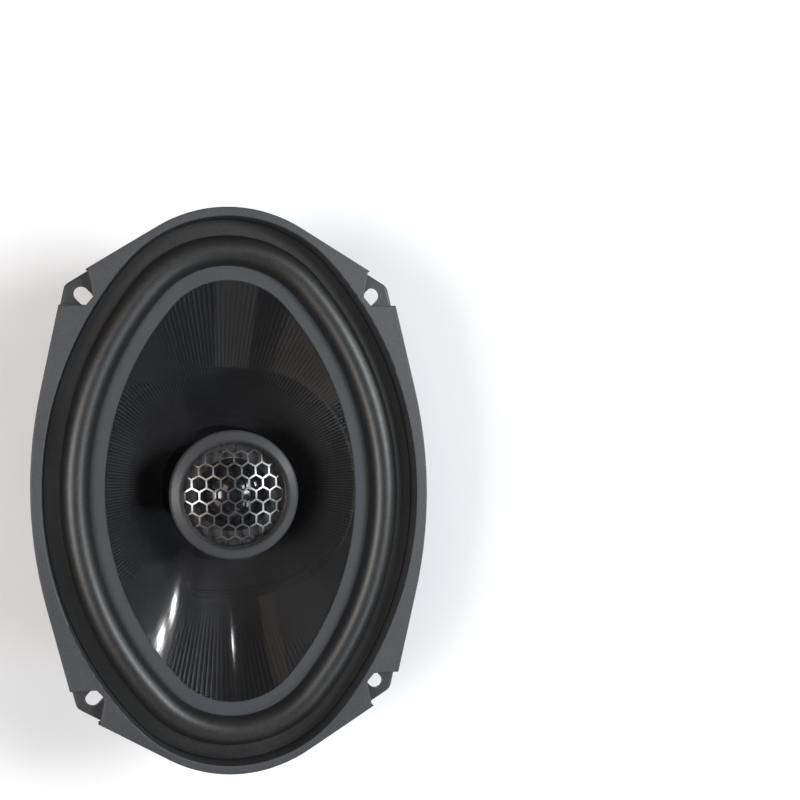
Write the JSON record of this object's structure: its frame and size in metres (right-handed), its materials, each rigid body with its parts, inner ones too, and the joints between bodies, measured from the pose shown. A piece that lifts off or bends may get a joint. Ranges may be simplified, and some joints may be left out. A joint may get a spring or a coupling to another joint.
{
  "type": "coaxial car speaker",
  "caption": "Oval coaxial car speaker with a stamped basket, rolled rubber surround, dished cone, grilled dome tweeter on a centre post, booted magnet and a small crossover board.",
  "frame": {"origin": "centre of the mounting plane, which is the back edge of the flange's lip", "axes": "+Z out of the cone, +Y along the long side of the flange, towards the terminal board"},
  "size_m": [0.165, 0.236, 0.0875],
  "materials": {
    "basket_powder": "satin powder coat",
    "ring_plastic": "fine speckled grey",
    "surround_rubber": "satin",
    "cone_poly": "glossy, dimpled",
    "former_aluminium": "plain",
    "copper_wire": "enamelled copper",
    "spider_cloth": "resin-stiffened cloth",
    "solder": "solder and glue",
    "zinc_steel": "zinc plated",
    "ferrite": "sintered, matt",
    "boot_rubber": "satin with a fine sparkle",
    "post_plastic": "satin black",
    "housing_plastic": "satin black",
    "bezel_paint": "dark grey satin",
    "grille_chrome": "dark chrome",
    "dome_film": "glossy film",
    "board_laminate": "phenolic laminate",
    "terminal_tin": "tin plated",
    "capacitor_sleeve": "black sleeve",
    "bobbin_plastic": "satin black",
    "glue_clear": "cloudy hot glue",
    "wire_red": "insulation",
    "wire_black": "insulation",
    "tinsel_braid": "flat braid"
  },
  "bodies": {
    "basket": {"basket": "basket_powder", "trim_ring": "ring_plastic", "surround": "surround_rubber", "spider": "spider_cloth", "top_plate": "zinc_steel", "magnet": "ferrite", "yoke": "zinc_steel", "magnet_boot": "boot_rubber", "basket_rivets": "zinc_steel", "tweeter_post": "post_plastic", "post_nut": "zinc_steel", "tweeter_housing": "housing_plastic", "tweeter_ring": "post_plastic", "tweeter_bezel": "bezel_paint", "tweeter_grille": "grille_chrome", "tweeter_top_plate": "zinc_steel", "tweeter_magnet": "zinc_steel", "tweeter_yoke": "zinc_steel", "tweeter_leads": "wire_black", "terminal_board": "board_laminate", "board_rivets": "terminal_tin", "terminal_positive": "terminal_tin", "terminal_negative": "terminal_tin", "capacitor_large": "capacitor_sleeve", "capacitor_small": "capacitor_sleeve", "inductor_bobbin": "bobbin_plastic", "inductor_winding": "copper_wire", "hot_glue": "glue_clear", "jumper_wire_long": "wire_red", "jumper_wire_short": "wire_red", "tinsel_lead_left": "tinsel_braid", "tinsel_lead_right": "tinsel_braid"},
    "cone_assembly": {"cone": "cone_poly", "voice_coil_former": "former_aluminium", "voice_coil_winding": "copper_wire", "lead_eyelets": "solder"},
    "tweeter_diaphragm": {"tweeter_dome": "dome_film", "tweeter_voice_coil": "copper_wire"}
  },
  "joints": [
    {"name": "cone_slide", "type": "slide", "parent": "basket", "child": "cone_assembly", "axis": [0, 0, 1], "range_m": [-0.0045, 0.0045], "stiffness_N_per_m": 2500, "deforming": ["surround", "spider", "tinsel_lead_left", "tinsel_lead_right"]},
    {"name": "tweeter_dome_slide", "type": "slide", "parent": "basket", "child": "tweeter_diaphragm", "axis": [0, 0, 1], "range_m": [-0.0003, 0.0003], "stiffness_N_per_m": 1500}
  ]
}
